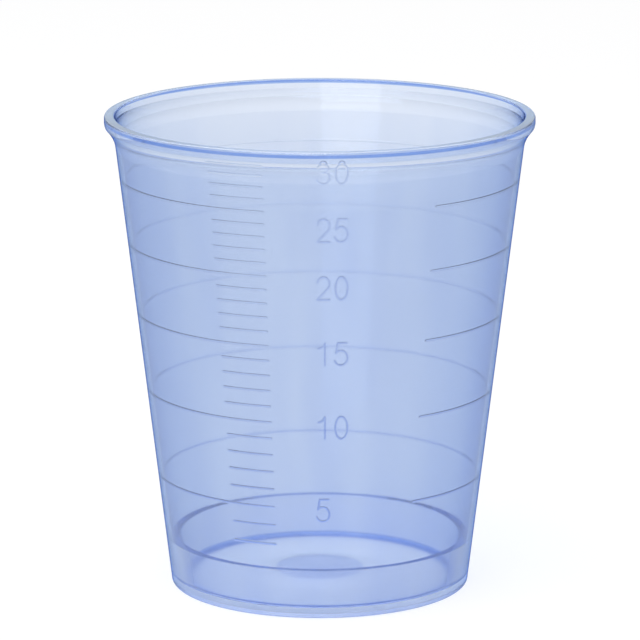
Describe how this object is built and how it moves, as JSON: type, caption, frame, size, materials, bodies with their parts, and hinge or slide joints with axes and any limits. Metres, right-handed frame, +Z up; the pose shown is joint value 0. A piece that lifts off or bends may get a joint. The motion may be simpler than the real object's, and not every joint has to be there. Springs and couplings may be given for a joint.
{
  "type": "medicine cup",
  "caption": "Small open dosing cup: tapered see-through wall, flared lip with a solid rim, inner stacking ledge and a moulded measuring scale.",
  "frame": {"origin": "centre of the foot's underside, on the cup's axis", "axes": "+Z up along the cup's axis, -Y out through the numbers of the scale, +X to the right of someone who reads them"},
  "size_m": [0.0376, 0.0376, 0.042],
  "materials": {
    "clear_blue_plastic": "see-through pale blue polypropylene, smooth and glossy, deeper blue where it is thick or seen edge on"
  },
  "bodies": {
    "root": {"cup": "clear_blue_plastic"}
  },
  "joints": []
}
